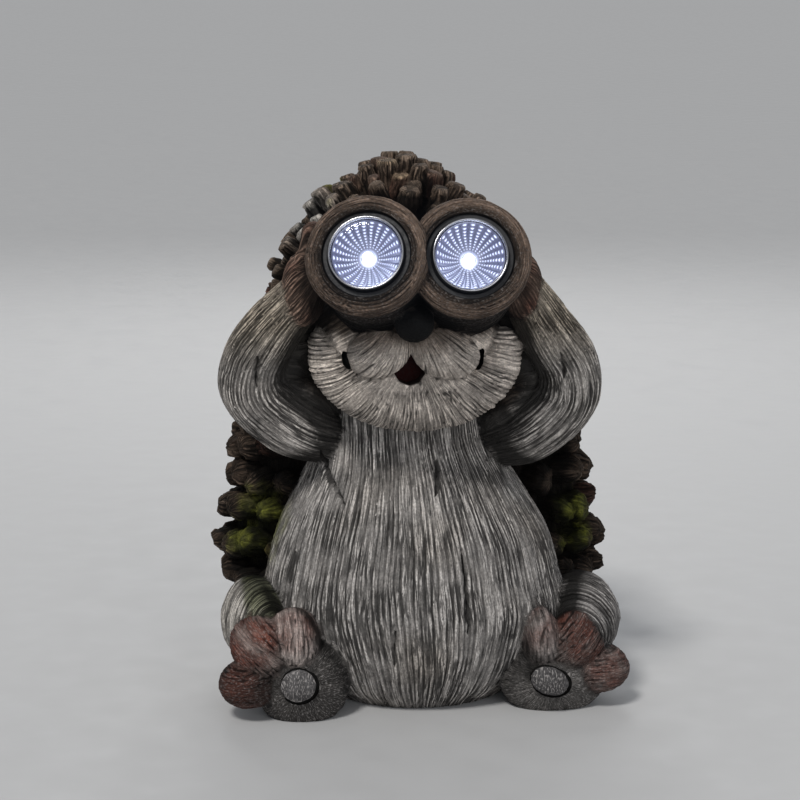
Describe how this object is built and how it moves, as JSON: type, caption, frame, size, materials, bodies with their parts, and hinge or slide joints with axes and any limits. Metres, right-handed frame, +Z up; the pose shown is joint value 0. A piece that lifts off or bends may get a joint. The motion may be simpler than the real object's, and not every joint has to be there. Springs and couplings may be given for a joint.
{
  "type": "hedgehog garden statue with lighted binoculars",
  "caption": "Cast garden statue of a seated, smiling hedgehog with carved wood grain, holding up binoculars with a lamp behind a clear lens in each tube.",
  "frame": {"origin": "middle of the flat underside of the body, on the ground", "axes": "+Z up, -Y to the front where the face and the binoculars look, +X to the right of the picture"},
  "size_m": [0.1906, 0.1669, 0.2516],
  "materials": {
    "painted_resin": "cast resin with carved wood grain, grey paint brushed over dark brown, with moss green and red-brown touches",
    "black_plastic": "satin black",
    "chrome": "bright plated",
    "clear_plastic": "clear and polished",
    "silvered_plastic": "silvered, with radial ribs",
    "led_plastic": "clear dome, lit cold white"
  },
  "bodies": {
    "root": {"hedgehog_casting": "painted_resin", "left_lamp_cup": "black_plastic", "left_chrome_ring": "chrome", "left_lens": "clear_plastic", "left_reflector": "silvered_plastic", "left_led": "led_plastic", "right_lamp_cup": "black_plastic", "right_chrome_ring": "chrome", "right_lens": "clear_plastic", "right_reflector": "silvered_plastic", "right_led": "led_plastic"}
  },
  "joints": []
}
